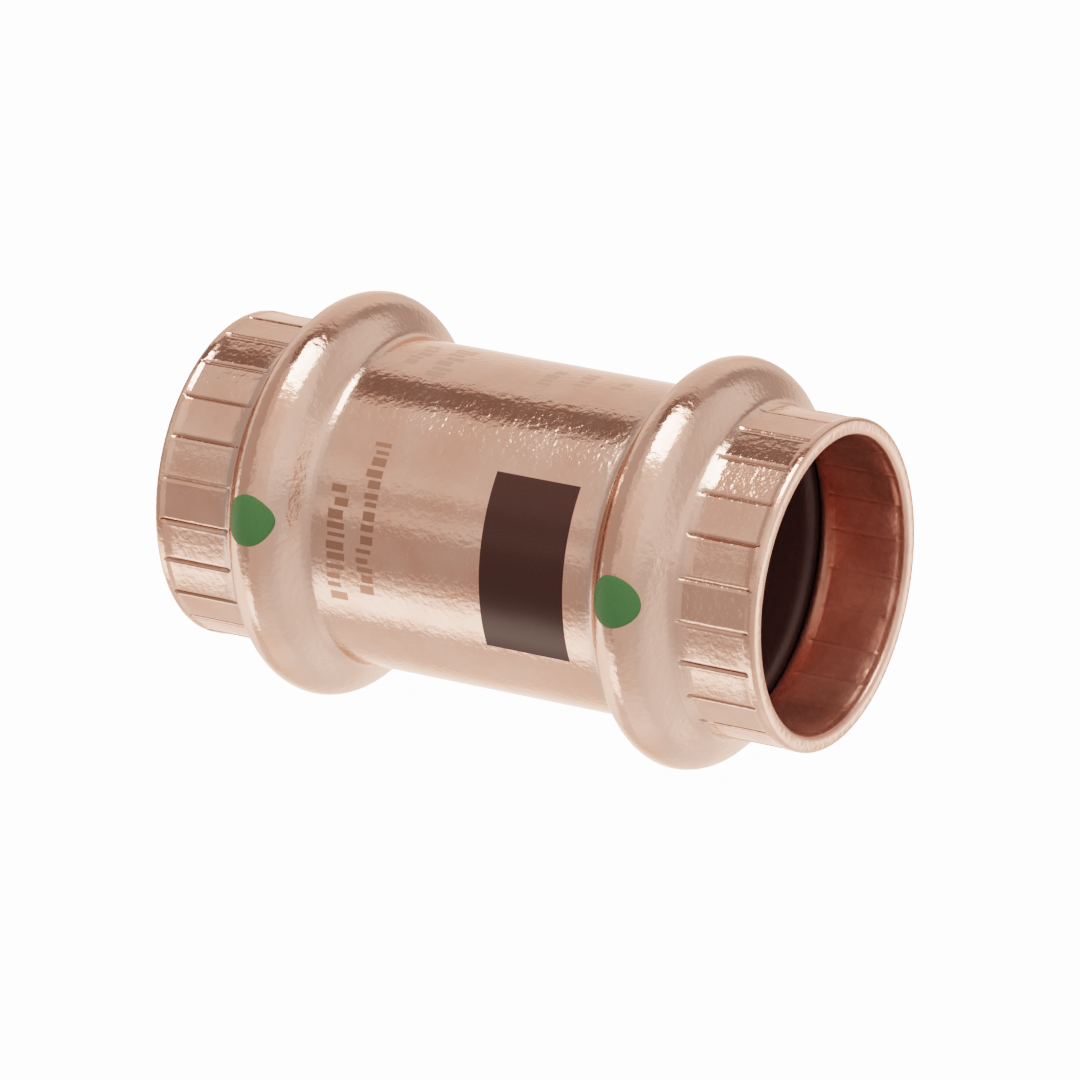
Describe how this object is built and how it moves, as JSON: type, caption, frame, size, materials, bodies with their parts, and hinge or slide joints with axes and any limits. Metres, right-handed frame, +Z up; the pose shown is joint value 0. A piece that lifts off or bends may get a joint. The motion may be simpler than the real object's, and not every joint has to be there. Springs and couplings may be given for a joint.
{
  "type": "press-connect pipe coupling",
  "caption": "Straight copper press coupling that joins two lengths of copper water tube end to end, with a rolled bead holding a rubber sealing ring at each end.",
  "frame": {"origin": "middle of the bore, half way between the two rims", "axes": "+X along the bore from the left end to the right end, +Z up, +Y away from the side the marks are on"},
  "size_m": [0.0514, 0.031, 0.031],
  "materials": {
    "copper": null,
    "seal_rubber": "smooth satin black EPDM rubber"
  },
  "bodies": {
    "root": {"coupling_body": "copper", "left_seal": "seal_rubber", "right_seal": "seal_rubber"}
  },
  "joints": []
}
